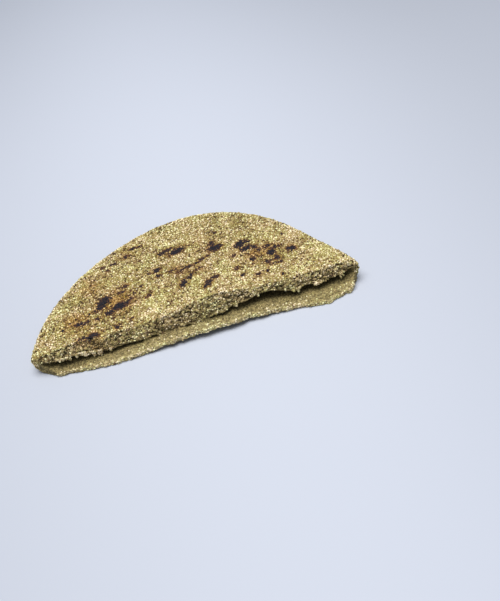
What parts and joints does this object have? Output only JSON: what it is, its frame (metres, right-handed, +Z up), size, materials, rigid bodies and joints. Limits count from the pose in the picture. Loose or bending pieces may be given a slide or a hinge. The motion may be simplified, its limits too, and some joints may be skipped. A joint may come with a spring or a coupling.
{
  "type": "cut half of a batbout flatbread",
  "caption": "Half of a round griddled pocket flatbread, cut straight across, with a gritty scorched crust and the pocket open along the cut.",
  "frame": {"origin": "middle of the footprint, on the surface that the bread lies on", "axes": "+X along the cut, +Y from the cut towards the back of the rim, +Z up through the crust"},
  "size_m": [0.171, 0.0978, 0.0173],
  "materials": {
    "bread": "dry, gritty, golden beige crust with brown and black griddle spots over open grey-beige crumb"
  },
  "bodies": {
    "root": {"bread_half": "bread"}
  },
  "joints": []
}
